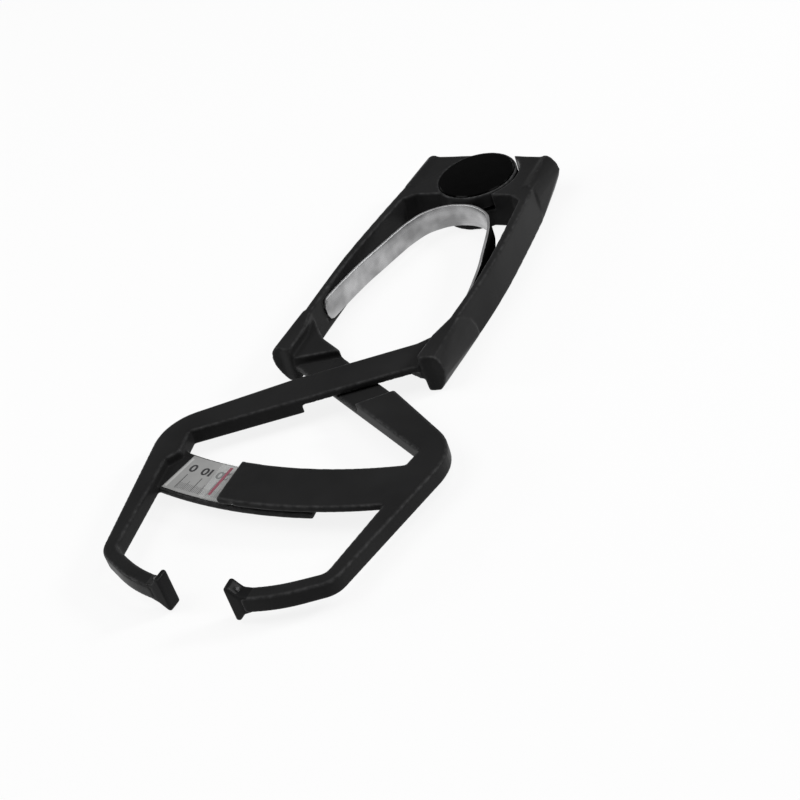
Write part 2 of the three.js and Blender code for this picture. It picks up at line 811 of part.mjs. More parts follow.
// A contact pad: a deep plate, and a flared neck that sits over the jaw's tongue.
function jaw_pad() {
  const face_x = pad_gap / 2;
  const plate_x = face_x + pad_plate;
  const neck = half_bar + pad_step;
  const side = rounded([
    corner(face_x, -half_body, pad_corner),
    corner(plate_x, -half_body, pad_corner),
    corner(pad_back, -neck),
    corner(pad_back, neck),
    corner(plate_x, half_body, pad_corner),
    corner(face_x, half_body, pad_corner),
  ]);
  const geometry = new THREE.ExtrudeGeometry(new THREE.Shape(side), {
    depth: pad_height - 2 * pad_round,
    bevelEnabled: true,
    bevelThickness: pad_round,
    bevelSize: pad_round,
    bevelOffset: -pad_round,
    bevelSegments: edge_steps,
    steps: 1,
  });
  geometry.rotateX(Math.PI / 2);
  geometry.translate(0, pad_height / 2 - pad_round - jaw_radius, 0);
  const socket = tongue(seat_gap, tongue_tip - seat_gap, 2 * tongue_root);
  const pin_hole = rod(pad_pin_radius + seat_gap, -half_body, half_body, pin_x, -jaw_radius, small_sides);
  return solid_of(geometry).subtract(socket).subtract(pin_hole);
}

function pad_pin() {
  const slope = (half_body - half_bar - pad_step) / pad_flare;
  const reach = half_body - slope * pad_flare * pad_pin_share + pad_pin_proud;
  return rod(pad_pin_radius, -reach, reach, pin_x, -jaw_radius, small_sides);
}

// The hairpin spring as it stands between the legs at rest.
function leaf_spring() {
  const tip = leg_inside(seat_end, -seat_depth + seat_gap).rotateAround(point(0, 0), half_rest_angle);
  tip.y += seat_gap;
  const base = -hub_radius - seat_gap;
  const side = spring_outer_shares.map(([x, y]) => point(tip.x * x, base + (tip.y - base) * y));
  const mirrored = (p) => point(-p.x, p.y);
  const outside = [tip, ...[...side].reverse(), point(0, base), ...side.map(mirrored), mirrored(tip)];
  const curve = new THREE.SplineCurve(outside);
  const outer = [];
  const inner = [];
  for (let i = 0; i <= spring_steps; i += 1) {
    const t = i / spring_steps;
    const along = curve.getTangent(t);
    outer.push(curve.getPoint(t));
    inner.push(curve.getPoint(t).addScaledVector(point(along.y, -along.x), spring_thickness));
  }
  const hairpin = slab([...outer, ...inner.reverse()], -spring_width / 2, spring_width / 2);
  const ends = rounded([
    corner(-spring_width, base + overrun),
    corner(-spring_width / 2, tip.y, spring_corner),
    corner(spring_width / 2, tip.y, spring_corner),
    corner(spring_width, base + overrun),
  ]);
  return hairpin.intersect(crosswise(ends, -2 * tip.x));
}

// The stack on the pivot, from the middle outwards.
function front_cap() {
  const edge = half_body + cap_proud;
  const profile = [
    point(0, cap_low),
    point(cap_radius - edge_round / 2, cap_low),
    point(cap_radius, cap_low + edge_round / 2),
    point(cap_radius, edge - edge_round / 2),
    point(cap_radius - edge_round / 2, edge),
    point(cap_radius / 2, edge + cap_dome * dome_share),
    point(0, edge + cap_dome),
  ];
  const geometry = new THREE.LatheGeometry(profile, 2 * round_sides);
  geometry.rotateX(Math.PI / 2);
  return solid_of(geometry);
}

function back_cap() {
  return slab(circle(cap_radius), leg_low, -cap_low, edge_round / 2);
}

function pivot_screw() {
  const head = slab(circle(head_radius), fastener_low, fastener_low + head_depth, edge_round / 2);
  const end = -fastener_low - head_depth + seat_gap;
  const socket = rod(
    socket_radius,
    fastener_low + head_depth - socket_depth,
    fastener_low + head_depth + overrun,
    0,
    0,
    hex_sides,
  );
  return head.add(rod(screw_radius, end, fastener_low + seat_gap)).subtract(socket);
}

function pivot_nut() {
  const hex = rod(head_radius, -fastener_low - head_depth, -fastener_low, 0, 0, hex_sides);
  return hex.subtract(rod(shank_hole, -half_body, 0));
}

function washer(low, inner, outer, depth) {
  return ring(inner, outer, low, low + depth);
}

// Materials.

function material(color, roughness, metalness, more = {}) {
  return new THREE.MeshStandardMaterial({ color, roughness, metalness, ...more });
}

const black = () => material(0x1b1c1c, 0.55, 0);
const gloss = () => material(0x060606, 0.12, 0);
const steel = () => material(0xb9bcc0, 0.28, 1);
const dull_steel = () => material(0x8d9094, 0.45, 1);
const nylon = () => material(0xd9d6cc, 0.6, 0);
const clear = () => material(0xe8eaea, 0.08, 0, { transparent: true, opacity: 0.35 });

// The assembly. Each arm is drawn closed and turned half of the rest opening.

function piece(name, solid, finish, mirrored = false) {
  const mesh = new THREE.Mesh(geometry_of(mirrored ? solid.mirror([1, 0, 0]) : solid), finish);
  mesh.name = name;
  return mesh;
}

const shank_hole = screw_radius + seat_gap;
const finger_group = new THREE.Group();
finger_group.rotation.z = half_rest_angle;
finger_group.add(
  piece('finger_arm', arm_body(1).add(cover()), black()),
  piece('front_cap', front_cap(), gloss()),
  piece('front_washer', washer(washer_low, shank_hole, washer_radius, washer_depth), dull_steel()),
  piece('cursor_window', reading_window(), clear()),
  piece('cursor_line', reading_line(), material(0xb3122a, 0.4, 0)),
  piece('window_rivet_inner', window_rivet(-1), dull_steel()),
  piece('window_rivet_outer', window_rivet(1), dull_steel()),
  piece('finger_jaw_pad', jaw_pad(), black()),
  piece('finger_pad_pin', pad_pin(), steel()),
);

const thumb_group = new THREE.Group();
thumb_group.rotation.z = -half_rest_angle;
const bush_length = 2 * bush_half_length;
const back_washer_low = -washer_low - washer_depth;
const thrust_half = knuckle_gap / 2 - seat_gap;
const thrust_hole = bush_radius + seat_gap;
thumb_group.add(
  piece('thumb_arm', arm_body(-1).add(strip()), black(), true),
  piece('scale_label', label(), material(0xc9c9c6, 0.45, 0), true),
  piece('thumb_jaw_pad', jaw_pad(), black(), true),
  piece('thumb_pad_pin', pad_pin(), steel(), true),
  piece('pivot_screw', pivot_screw(), dull_steel()),
  piece('pivot_nut', pivot_nut(), dull_steel()),
  piece('pivot_bush', washer(-bush_half_length, shank_hole, bush_radius, bush_length), dull_steel()),
  piece('back_washer', washer(back_washer_low, shank_hole, washer_radius, washer_depth), dull_steel()),
  piece('thrust_washer', washer(-thrust_half, thrust_hole, thrust_radius, 2 * thrust_half), nylon()),
  piece('back_cap', back_cap(), black()),
);

const caliper = new THREE.Group();
caliper.name = 'skinfold_caliper';
caliper.add(finger_group, thumb_group, piece('leaf_spring', leaf_spring(), steel()));
caliper.position.z = -leg_low;

export default caliper;
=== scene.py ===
# %% [markdown]
# # A skinfold caliper, dressed over its CAD frame
# The imported model gives every solid at its real size. This script keeps the solids whose shape is
# already right and gives them a finish. It swaps the mouldings for copies with softened edges, puts
# in a swept hairpin spring, prints the scale, and sets up a pale studio and a camera.

# %% Load the frame
import math

import bmesh
import bpy
from mathutils import Matrix, Vector


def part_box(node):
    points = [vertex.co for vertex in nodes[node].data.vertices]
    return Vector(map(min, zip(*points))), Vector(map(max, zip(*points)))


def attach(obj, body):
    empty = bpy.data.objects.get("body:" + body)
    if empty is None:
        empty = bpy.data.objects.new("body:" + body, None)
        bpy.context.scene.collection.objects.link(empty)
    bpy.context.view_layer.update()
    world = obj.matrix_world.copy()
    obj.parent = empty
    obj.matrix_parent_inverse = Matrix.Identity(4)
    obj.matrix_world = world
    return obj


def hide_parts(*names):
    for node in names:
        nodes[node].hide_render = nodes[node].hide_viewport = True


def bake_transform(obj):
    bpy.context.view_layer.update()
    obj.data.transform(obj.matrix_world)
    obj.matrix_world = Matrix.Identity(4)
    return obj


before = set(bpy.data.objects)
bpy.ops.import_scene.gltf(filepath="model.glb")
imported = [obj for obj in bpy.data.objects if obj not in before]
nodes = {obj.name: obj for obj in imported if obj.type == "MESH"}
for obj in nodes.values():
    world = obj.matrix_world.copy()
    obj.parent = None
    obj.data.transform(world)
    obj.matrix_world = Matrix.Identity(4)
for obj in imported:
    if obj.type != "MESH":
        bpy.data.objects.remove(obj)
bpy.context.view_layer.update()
scene = bpy.context.scene
MM = 0.001

# %% [markdown]
# ## Where things are
# A learner's first habit should be to ask the frame for a place before measuring one. The boxes of
# the nodes give the place of the spring and the level of the label. The two bodies are the two arms
# with all that is fixed to them.

# %% Places taken from the frame
THUMB = "thumb_side"
FINGER = "finger_side"
spring_low, spring_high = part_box("leaf_spring")
label_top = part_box("scale_label")[1].z
print("label top mm", round(label_top / MM, 2))
print("spring from", round(spring_low.z / MM, 2), "to", round(spring_high.z / MM, 2), "mm")

# %% [markdown]
# ## Camera
# The picture was taken from the jaw end, a little to the right and about a third of the way up,
# with the camera rolled. A long lens at three quarters of a metre gives the same slight
# convergence; the lens and the sensor are in millimetres. The camera looks along its own -Z axis,
# so a track quaternion points that axis at the aim, and a turn about it gives the roll.

# %% Camera
CAMERA_AIM = Vector((27.5, -139.9, 8.95)) * MM
CAMERA_AZIMUTH = math.radians(-52.37)
CAMERA_ELEVATION = math.radians(35.13)
CAMERA_ROLL = math.radians(19.9)
CAMERA_DISTANCE = 750 * MM
CAMERA_LENS = 89.1
CAMERA_SENSOR = 36


def direction(azimuth, elevation):
    level = math.cos(elevation)
    return Vector((level * math.cos(azimuth), level * math.sin(azimuth), math.sin(elevation)))


camera_data = bpy.data.cameras.new("camera")
camera_data.lens = CAMERA_LENS
camera_data.sensor_width = CAMERA_SENSOR
camera = bpy.data.objects.new("camera", camera_data)
scene.collection.objects.link(camera)
away = direction(CAMERA_AZIMUTH, CAMERA_ELEVATION)
turn = (-away).to_track_quat("-Z", "Y").to_matrix() @ Matrix.Rotation(-CAMERA_ROLL, 3, "Z")
camera.matrix_world = Matrix.Translation(CAMERA_AIM + away * CAMERA_DISTANCE) @ turn.to_4x4()
scene.camera = camera
print("camera at mm", [round(v / MM) for v in camera.matrix_world.translation])

# %% [markdown]
# ## Building a material
# Every finish below is a small node tree. These helpers add a node with its inputs set, and join
# an output to an input, so that each finish reads as a recipe. All patterns read Object
# coordinates, which stay with a piece when its arm turns.

# %% Node helpers
def new_material(name):
    material = bpy.data.materials.new(name)
    material.use_nodes = True
    return material, material.node_tree, material.node_tree.nodes["Principled BSDF"]


def add(tree, kind, **inputs):
    made = tree.nodes.new(kind)
    for key, value in inputs.items():
        made.inputs[key].default_value = value
    return made


def link(tree, source, output, target, socket):
    tree.links.new(source.outputs[output], target.inputs[socket])


def rgba(color):
    return (*color, 1) if isinstance(color, tuple) else (color, color, color, 1)


def shade(color, factor):
    return tuple(factor * c for c in color)


print("helpers for nodes and colours are ready")

# %% [markdown]
# ## Patterns for materials
# A noise texture gives clouds, streaks or grain, depending on its scale and on how far it is
# stretched. A colour ramp turns it into the tones or the roughness that a finish needs. A Math
# node combines two masks, and a Mix node lays one colour over another where a mask says so.

# %% Pattern helpers
def noise(tree, scale, detail, stretch=None):
    coords = tree.nodes.new("ShaderNodeTexCoord")
    made = add(tree, "ShaderNodeTexNoise", Scale=scale, Detail=detail)
    if stretch is None:
        link(tree, coords, "Object", made, "Vector")
        return made
    mapping = add(tree, "ShaderNodeMapping", Scale=stretch)
    link(tree, coords, "Object", mapping, "Vector")
    link(tree, mapping, "Vector", made, "Vector")
    return made


def ramp(tree, source, output, stops):
    made = tree.nodes.new("ShaderNodeValToRGB")
    elements = made.color_ramp.elements
    while len(elements) < len(stops):
        elements.new(0.5)
    for element, (place, level) in zip(elements, stops):
        element.position = place
        element.color = rgba(level)
    link(tree, source, output, made, "Fac")
    return made


def compute(tree, operation, *values):
    made = tree.nodes.new("ShaderNodeMath")
    made.operation = operation
    for socket, value in zip(made.inputs, values):
        if isinstance(value, float):
            socket.default_value = value
        else:
            tree.links.new(value, socket)
    return made.outputs[0]


def overlay(tree, mask, under, over):
    made = tree.nodes.new("ShaderNodeMix")
    made.data_type = "RGBA"
    made.inputs["B"].default_value = rgba(over)
    tree.links.new(mask, made.inputs["Factor"])
    link(tree, under, "Color", made, "A")
    return made


def bump(tree, shader, source, strength, depth):
    made = add(tree, "ShaderNodeBump", Strength=strength, Distance=depth)
    link(tree, source, "Fac", made, "Height")
    link(tree, made, "Normal", shader, "Normal")


print("helpers for patterns are ready")

# %% [markdown]
# ## Black moulded plastic
# The arms are a glass-filled plastic: black and satin, with a fine grain left by the mould, faint
# flow streaks, and slightly polished patches where fingers rub. The grain is bump; the streaks and
# the polish are changes of roughness, so that the colour itself stays an even black. Edges where
# the mesh folds are painted a touch lighter. This is a painted highlight for the light that their
# rounding catches. A Bevel node could find them, but it samples the scene at every point;
# Pointiness, which reads how sharply the mesh folds, does it at once on the small even faces made
# below. A noise breaks the painted highlight up. The pads are a deeper black than the arms. The
# same recipe, darker still, is a painted shade on the outside face of the spring, which faces away
# from the light.

# %% Finish: moulded black
# How many times lighter than the base black the painted edge highlight is.
EDGE_HIGHLIGHT_LIGHTNESS = 4.2
MOULD_GRAIN = 0.04 * MM


def moulded_black(name, base, rough, gloss):
    material, tree, shader = new_material(name)
    cloud = noise(tree, scale=45.0, detail=4.0)
    tone = ramp(tree, cloud, "Fac", [(0.3, shade(base, 0.85)), (0.7, shade(base, 1.15))])
    folds = tree.nodes.new("ShaderNodeNewGeometry")
    # Painted highlight: edges where the mesh folds sharply are painted lighter, standing for light
    # caught on their rounding.
    edge = ramp(tree, folds, "Pointiness", [(0.51, 0.0), (0.56, 1.0)])
    patches = noise(tree, scale=420.0, detail=4.0)
    highlight_gaps = ramp(tree, patches, "Fac", [(0.35, 0.1), (0.68, 1.0)])
    painted_edge_highlight = compute(tree, "MULTIPLY", edge.outputs["Color"], highlight_gaps.outputs["Color"])
    mixed = overlay(tree, painted_edge_highlight, tone, shade(base, EDGE_HIGHLIGHT_LIGHTNESS))
    link(tree, mixed, "Result", shader, "Base Color")
    flow = noise(tree, scale=30.0, detail=3.0, stretch=(1.0, 0.25, 1.0))
    polish = ramp(tree, flow, "Fac", [(0.35, rough - 0.04), (0.65, rough + 0.05)])
    link(tree, polish, "Color", shader, "Roughness")
    bump(tree, shader, noise(tree, scale=2400.0, detail=2.0), 0.1, MOULD_GRAIN)
    shader.inputs["Specular IOR Level"].default_value = gloss
    return material


arm_black = moulded_black("arm black", (0.0158, 0.0158, 0.016), rough=0.3, gloss=0.03)
pad_black = moulded_black("pad black", (0.0095, 0.0095, 0.0097), rough=0.3, gloss=0.045)
# Painted shade: the outside face of the spring is painted near black, standing for the shade on the
# side that faces away from the light.
spring_outside_shade = moulded_black("spring outside shade", (0.003, 0.003, 0.003), rough=0.5, gloss=0.0)
print("black finishes", arm_black.name, pad_black.name, spring_outside_shade.name)

# %% [markdown]
# ## Polished cap
# The disc over the pivot is a separate cap of polished black plastic, left bare. It has the
# shallow smears that a thumb leaves, which show only as small changes of roughness.

# %% Finish: polished cap
def polished_cap():
    material, tree, shader = new_material("cap gloss")
    smear = noise(tree, scale=70.0, detail=5.0, stretch=(1.0, 0.4, 1.0))
    rough = ramp(tree, smear, "Fac", [(0.35, 0.1), (0.7, 0.2)])
    link(tree, rough, "Color", shader, "Roughness")
    haze = noise(tree, scale=300.0, detail=3.0)
    tone = ramp(tree, haze, "Fac", [(0.3, 0.0004), (0.8, 0.001)])
    link(tree, tone, "Color", shader, "Base Color")
    shader.inputs["Specular IOR Level"].default_value = 0.05
    return material


cap_gloss = polished_cap()
print("cap finish", cap_gloss.name)

# %% [markdown]
# ## Steel
# The spring is cold-rolled strip. Rolling leaves fine lines along the strip and a soft sheen
# across it, so the noise is stretched: fine across the depth, long in the plane of the bend. The
# inside of the bend is bright, and the cut rim is dull, so it has a rougher steel of its own.
# Screw, nut, washers, rivets and pins are turned steel with a duller surface.

# %% Finish: steel
ROLLED = (0.06, 0.06, 2.5)
TURNED = (1.0, 1.0, 6.0)
ROLLING_LINES = 0.01 * MM


def steel(name, tint, rough, stretch, darkest):
    material, tree, shader = new_material(name)
    lines = noise(tree, scale=260.0, detail=4.0, stretch=stretch)
    blotch = noise(tree, scale=85.0, detail=2.0)
    tone = ramp(tree, blotch, "Fac", [(0.36, shade(tint, darkest)), (0.64, tint)])
    link(tree, tone, "Color", shader, "Base Color")
    sheen = ramp(tree, lines, "Fac", [(0.3, rough - 0.05), (0.7, rough + 0.08)])
    link(tree, sheen, "Color", shader, "Roughness")
    bump(tree, shader, lines, 0.02, ROLLING_LINES)
    shader.inputs["Metallic"].default_value = 1.0
    return material


spring_steel = steel("spring steel", (0.47, 0.47, 0.475), 0.24, ROLLED, darkest=0.5)
spring_rim = steel("spring rim", (0.5, 0.5, 0.505), 0.55, ROLLED, darkest=0.8)
turned_steel = steel("turned steel", (0.45, 0.45, 0.46), 0.36, TURNED, darkest=0.85)
print("steel finishes", spring_steel.name, spring_rim.name, turned_steel.name)

# %% [markdown]
# ## Label, print, window and washer
# The label is a satin grey foil. Print sits on it in dark grey ink. The window is clear acrylic
# with fine handling marks. Made of glass it would bend the view at every edge, which a thin plate
# hardly does, so it is a faint haze instead: Alpha lets most of the light straight through. Its
# reading line is red ink. The washer between the arms is plain nylon.

# %% Finish: label, print, line, washer and window
FOIL_GRAIN = 0.002 * MM


def coated(name, color, rough, darkest, alpha=1.0):
    material, tree, shader = new_material(name)
    cloud = noise(tree, scale=120.0, detail=4.0)
    tone = ramp(tree, cloud, "Fac", [(0.3, shade(color, darkest)), (0.7, color)])
    link(tree, tone, "Color", shader, "Base Color")
    level = ramp(tree, cloud, "Fac", [(0.3, rough - 0.04), (0.7, rough + 0.04)])
    link(tree, level, "Color", shader, "Roughness")
    bump(tree, shader, noise(tree, scale=1500.0, detail=2.0), 0.02, FOIL_GRAIN)
    shader.inputs["Alpha"].default_value = alpha
    return material


label_grey = coated("label grey", (0.29, 0.29, 0.287), 0.45, darkest=0.9)
print_grey = coated("print grey", (0.1, 0.1, 0.102), 0.5, darkest=0.85)
border_pale = coated("border pale", (0.42, 0.42, 0.415), 0.45, darkest=0.94)
print_black = coated("print black", (0.03, 0.03, 0.032), 0.5, darkest=0.8)
line_red = coated("line red", (0.24, 0.075, 0.1), 0.4, darkest=0.92)
washer_nylon = coated("washer nylon", (0.7, 0.68, 0.62), 0.5, darkest=0.93)
window_clear = coated("window clear", (0.75, 0.77, 0.76), 0.12, darkest=0.97, alpha=0.12)
print("label, print, line, washer and window finished")

# %% [markdown]
# ## Closing small holes in a moulding
# The next step rebuilds each moulding from small faces, and a hole that is little wider than one
# face comes out ragged. So the holes over the rivets and round the pad pins are filled first, with
# short plugs. A plug is a cylinder that overlaps the solid. Its top can lean, to follow a slope.

# %% Plugs
PLUG_DEPTH = 1.6 * MM
PLUG_MARGIN = 0.35 * MM
PLUG_SIDES = 24


def plug_over(name, top, lean=0.0):
    low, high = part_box(name)
    middle = (low + high) / 2
    foot = Vector((middle.x, middle.y, high.z - PLUG_DEPTH))
    return foot, Vector((middle.x, middle.y, top)), (high.x - low.x) / 2 + PLUG_MARGIN, lean


def add_plug(work, foot, top, radius, lean):
    middle = (foot + top) / 2
    made = bmesh.ops.create_cone(
        work, cap_ends=True, segments=PLUG_SIDES, radius1=radius, radius2=radius,
        depth=top.z - foot.z, matrix=Matrix.Translation(middle),
    )
    for vertex in made["verts"]:
        if vertex.co.z > middle.z:
            vertex.co.z += lean * (vertex.co.x - middle.x)


print("a plug reaches", round(PLUG_DEPTH / MM, 1), "mm below the top of its rivet or pin")

# %% [markdown]
# ## Joining a pad to its arm
# On the real tool the end of each jaw swells smoothly into its pad. A fillet could be modelled face
# by face, but a convex hull does it in one step: it is the tightest skin round a ring of points on
# the pad and a ring on the arm. A ring is where a flat cut crosses the solid. The arm's solid also
# has other parts that the cut crosses, so only the points at the jaws are kept.

# %% Rings and flares
FLARE_BITE = 0.59 * MM
FLARE_RUN = 3.11 * MM
FLARE_SHRINK = 0.97
JAW_MARGIN = 6.4 * MM
pad_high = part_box("finger_jaw_pad")[1]


def cut_ring(name, across, scale=1.0):
    work = bmesh.new()
    work.from_mesh(nodes[name].data)
    cut = bmesh.ops.bisect_plane(
        work, geom=work.verts[:] + work.edges[:] + work.faces[:],
        plane_co=(across, 0.0, 0.0), plane_no=(1.0, 0.0, 0.0),
    )
    ring = [g.co.copy() for g in cut["geom_cut"] if isinstance(g, bmesh.types.BMVert)]
    work.free()
    ring = [p for p in ring if p.y < pad_high.y + JAW_MARGIN]
    middle = sum(ring, Vector()) / len(ring)
    return [middle + scale * (p - middle) for p in ring]


def add_flare(work, points):
    hull = bmesh.ops.convex_hull(work, input=[work.verts.new(place) for place in points])
    spare = set(hull["geom_interior"]) | set(hull["geom_unused"])
    bmesh.ops.delete(work, geom=[g for g in spare if isinstance(g, bmesh.types.BMVert)])


def flare_between(pad, arm, side):
    inside_pad = cut_ring(pad, side * (pad_high.x - FLARE_BITE))
    on_arm = cut_ring(arm, side * (pad_high.x + FLARE_RUN), FLARE_SHRINK)
    return inside_pad + on_arm


print("the pad ends at mm", round(pad_high.x / MM, 2), "and its flare at",
      round((pad_high.x + FLARE_RUN) / MM, 2))

# %% [markdown]
# ## Softening the mouldings
# The solids are cut with crisp edges, and light catches no crisp edge. A Bevel modifier would do
# for a simple block, but here many short edges meet, and each would hold the bevel back. So a copy
# of each moulding is rebuilt from small even faces with a Remesh modifier, which rounds every edge
# by about the size of one face and joins all that overlaps. A Smooth modifier then evens the
# rounding, much as a mould's polished edges would. The modifiers are applied at once, so that the
# piece carries its final mesh.

# %% Softened copies
SAME_POINT = 0.002 * MM


def merged_copy(name, finish, plugs=(), flare=()):
    mesh = nodes[name].data.copy()
    mesh.materials.clear()
    mesh.materials.append(finish)
    work = bmesh.new()
    work.from_mesh(mesh)
    bmesh.ops.remove_doubles(work, verts=work.verts, dist=SAME_POINT)
    for plug in plugs:
        add_plug(work, *plug)
    if flare:
        add_flare(work, flare)
    for face in work.faces:
        face.material_index = 0
    work.to_mesh(mesh)
    work.free()
    return mesh


def fix_modifiers(piece, finish):
    bpy.context.view_layer.update()
    ready = piece.evaluated_get(bpy.context.evaluated_depsgraph_get())
    baked = bpy.data.meshes.new_from_object(ready)
    piece.modifiers.clear()
    piece.data = baked
    if not baked.materials:
        baked.materials.append(finish)


def softened(name, grain, rounds, finish, body, plugs=(), flare=()):
    piece = bpy.data.objects.new(name + "_moulding", merged_copy(name, finish, plugs, flare))
    scene.collection.objects.link(piece)
    remesh = piece.modifiers.new("even faces", "REMESH")
    remesh.mode = "VOXEL"
    remesh.voxel_size = grain
    remesh.use_smooth_shade = True
    smooth = piece.modifiers.new("round edges", "SMOOTH")
    smooth.factor = 0.5
    smooth.iterations = rounds
    fix_modifiers(piece, finish)
    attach(piece, body)
    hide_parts(name)
    print(name, "triangles", sum(len(p.vertices) - 2 for p in piece.data.polygons))


print("points closer than", SAME_POINT / MM, "mm count as one")

# %% [markdown]
# ## The two arms
# Each arm is one large moulding: half of the hub, a leg with its rest, a bar, a knee and a jaw. The
# finger arm also has the cover over the scale. The rivets of the window bite into that cover from
# below and don't come through, so plugs keep its top whole.

# %% Arms
ARM_GRAIN = 0.55 * MM
ARM_ROUNDS = 4
RIVET_COVER = 0.6 * MM
rivet_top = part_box("window_rivet_inner")[1].z
softened("finger_arm", ARM_GRAIN, ARM_ROUNDS, arm_black, FINGER, [
    plug_over("window_rivet_inner", rivet_top + RIVET_COVER),
    plug_over("window_rivet_outer", rivet_top + RIVET_COVER),
])
softened("thumb_arm", ARM_GRAIN, ARM_ROUNDS, arm_black, THUMB)

# %% [markdown]
# ## How a pad slopes
# The neck of a pad falls away from its plate, so the plug round its pin has to lean the same way.
# The slope needn't be known: two rays, shot down on either side of the pin, measure it.

# %% Slope of a pad
BESIDE_PIN = 1.7 * MM
RAY_SPREAD = 0.7 * MM
RAY_START = 50 * MM


def height_beside(pad, pin, across):
    low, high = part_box(pin)
    start = Vector(((low.x + high.x) / 2 + across, (low.y + high.y) / 2 + BESIDE_PIN, RAY_START))
    return nodes[pad].ray_cast(start, Vector((0.0, 0.0, -1.0)))[1].z


pad_top = height_beside("finger_jaw_pad", "finger_pad_pin", 0.0)
pad_rise = (height_beside("finger_jaw_pad", "finger_pad_pin", RAY_SPREAD)
            - height_beside("finger_jaw_pad", "finger_pad_pin", -RAY_SPREAD))
pad_lean = pad_rise / (2 * RAY_SPREAD)
print("pad top beside the pin mm", round(pad_top / MM, 2), "lean", round(pad_lean, 2))

# %% [markdown]
# ## The contact pads
# The pads touch the skin, so their corners are rounder than those of the arms: they have finer
# faces and more rounds of smoothing. The plug stops just under the neck's face, so that all that
# shows of the steel pin is its end. The flare starts inside the pad's neck and ends a little way
# along the jaw, where its ring is slightly smaller than the jaw and so disappears into it.

# %% Pads
PAD_GRAIN = 0.25 * MM
PAD_ROUNDS = 24
PIN_SHOWS = 0.08 * MM
for side, arm, pad, pin, body in [
    (1, "finger_arm", "finger_jaw_pad", "finger_pad_pin", FINGER),
    (-1, "thumb_arm", "thumb_jaw_pad", "thumb_pad_pin", THUMB),
]:
    pin_plug = plug_over(pin, pad_top - PIN_SHOWS, side * pad_lean)
    flare = flare_between(pad, arm, side)
    softened(pad, PAD_GRAIN, PAD_ROUNDS, pad_black, body, [pin_plug], flare)

# %% [markdown]
# ## The window
# The window is a flat clear plate. Its copy keeps crisp edges, because acrylic is sawn and
# polished, so its faces are shaded flat.

# %% Window
def on_body(name, mesh, body):
    piece = bpy.data.objects.new(name, mesh)
    scene.collection.objects.link(piece)
    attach(piece, body)
    return piece


window_mesh = merged_copy("cursor_window", window_clear)
for polygon in window_mesh.polygons:
    polygon.use_smooth = False
window = on_body("cursor_window_plate", window_mesh, FINGER)
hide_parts("cursor_window")
print("window faces", len(window_mesh.polygons))

# %% [markdown]
# ## The hairpin spring: its line
# On the real tool one strip of spring steel is bent into a hairpin and pushes the legs apart. It
# could be an extruded outline, but it is swept, which gives it evenly spaced rings of points: a
# rounded cross-section is carried along a smooth curve. The curve runs through a few points, given
# as shares of the half width and the length of the CAD spring's own box. Between two points it is
# a Catmull-Rom curve, which passes through each point without a kink.

# %% The spring's line
SPRING_SHARES = [
    (0.156, 0.007), (0.313, 0.037), (0.488, 0.101), (0.594, 0.19),
    (0.665, 0.278), (0.79, 0.49), (0.863, 0.616), (0.94, 0.807), (1.0, 1.0),
]
SPRING_STEPS = 10


def spring_points():
    half = spring_high.x
    length = spring_low.y - spring_high.y
    right = [Vector((half * x, spring_high.y + length * y)) for x, y in SPRING_SHARES]
    left = [Vector((-p.x, p.y)) for p in right]
    return left[::-1] + [Vector((0.0, spring_high.y))] + right


def smooth_line(points, steps):
    line = []
    ends = [points[0] * 2 - points[1]] + points + [points[-1] * 2 - points[-2]]
    for a, b, c, d in zip(ends, ends[1:], ends[2:], ends[3:]):
        for i in range(steps):
            t = i / steps
            line.append(0.5 * (2 * b + (c - a) * t + (2 * a - 5 * b + 4 * c - d) * t ** 2
                               + (3 * b - a - 3 * c + d) * t ** 3))
    line.append(points[-1])
    return line


spring_line = smooth_line(spring_points(), SPRING_STEPS)
print("points along the spring", len(spring_line))

# %% [markdown]
# ## The hairpin spring: its section
# A sheared strip has slightly rounded edges, which catch the light as a thin line. The section is
# a rectangle with a two-step chamfer at each corner. Near each tip it gets shallower along a
# quarter circle, which rounds the corners of the tip.

# %% The strip's section
STRIP_THICK = 1.1 * MM
STRIP_RIM = 0.28 * MM
RIM_BITE_SHARE = 0.3
TIP_CORNER = 3.6 * MM


def strip_section(half_depth):
    bite = STRIP_RIM * RIM_BITE_SHARE
    near = [(0.0, half_depth - STRIP_RIM), (bite, half_depth - bite), (STRIP_RIM, half_depth)]
    upper = near + [(STRIP_THICK - u, w) for u, w in reversed(near)]
    return upper + [(u, -w) for u, w in reversed(upper)]


def half_depth_at(from_tip):
    cut = max(0.0, TIP_CORNER - from_tip)
    half = (spring_high.z - spring_low.z) / 2
    return half - TIP_CORNER + math.sqrt(TIP_CORNER ** 2 - cut ** 2)


print("corners of the section", len(strip_section(half_depth_at(TIP_CORNER))))

# %% [markdown]
# ## The hairpin spring: the sweep
# Each point of the line gets a ring: the section, set square to the line. Faces join each ring to
# the next. The face on the inside of the bend is bright steel. The one on the outside is painted
# dark, a painted shade for the side that faces away from the light. The narrow ones between are the
# dull rim.

# %% Sweep the strip
INSIDE_FACE = 5
OUTSIDE_FACE = 11
STEEL, SHADED_SIDE, RIM = 0, 1, 2
SHARP_FOLD = math.radians(50)


def strip_rings(work):
    runs = [0.0]
    for a, b in zip(spring_line, spring_line[1:]):
        runs.append(runs[-1] + (b - a).length)
    middle_z = (spring_low.z + spring_high.z) / 2
    rings = []
    for i, place in enumerate(spring_line):
        ahead = spring_line[min(i + 1, len(spring_line) - 1)] - spring_line[max(i - 1, 0)]
        inward = Vector((ahead.y, -ahead.x)).normalized()
        section = strip_section(half_depth_at(min(runs[i], runs[-1] - runs[i])))
        rings.append([
            work.verts.new((place.x + inward.x * u, place.y + inward.y * u, middle_z + w))
            for u, w in section
        ])
    return rings


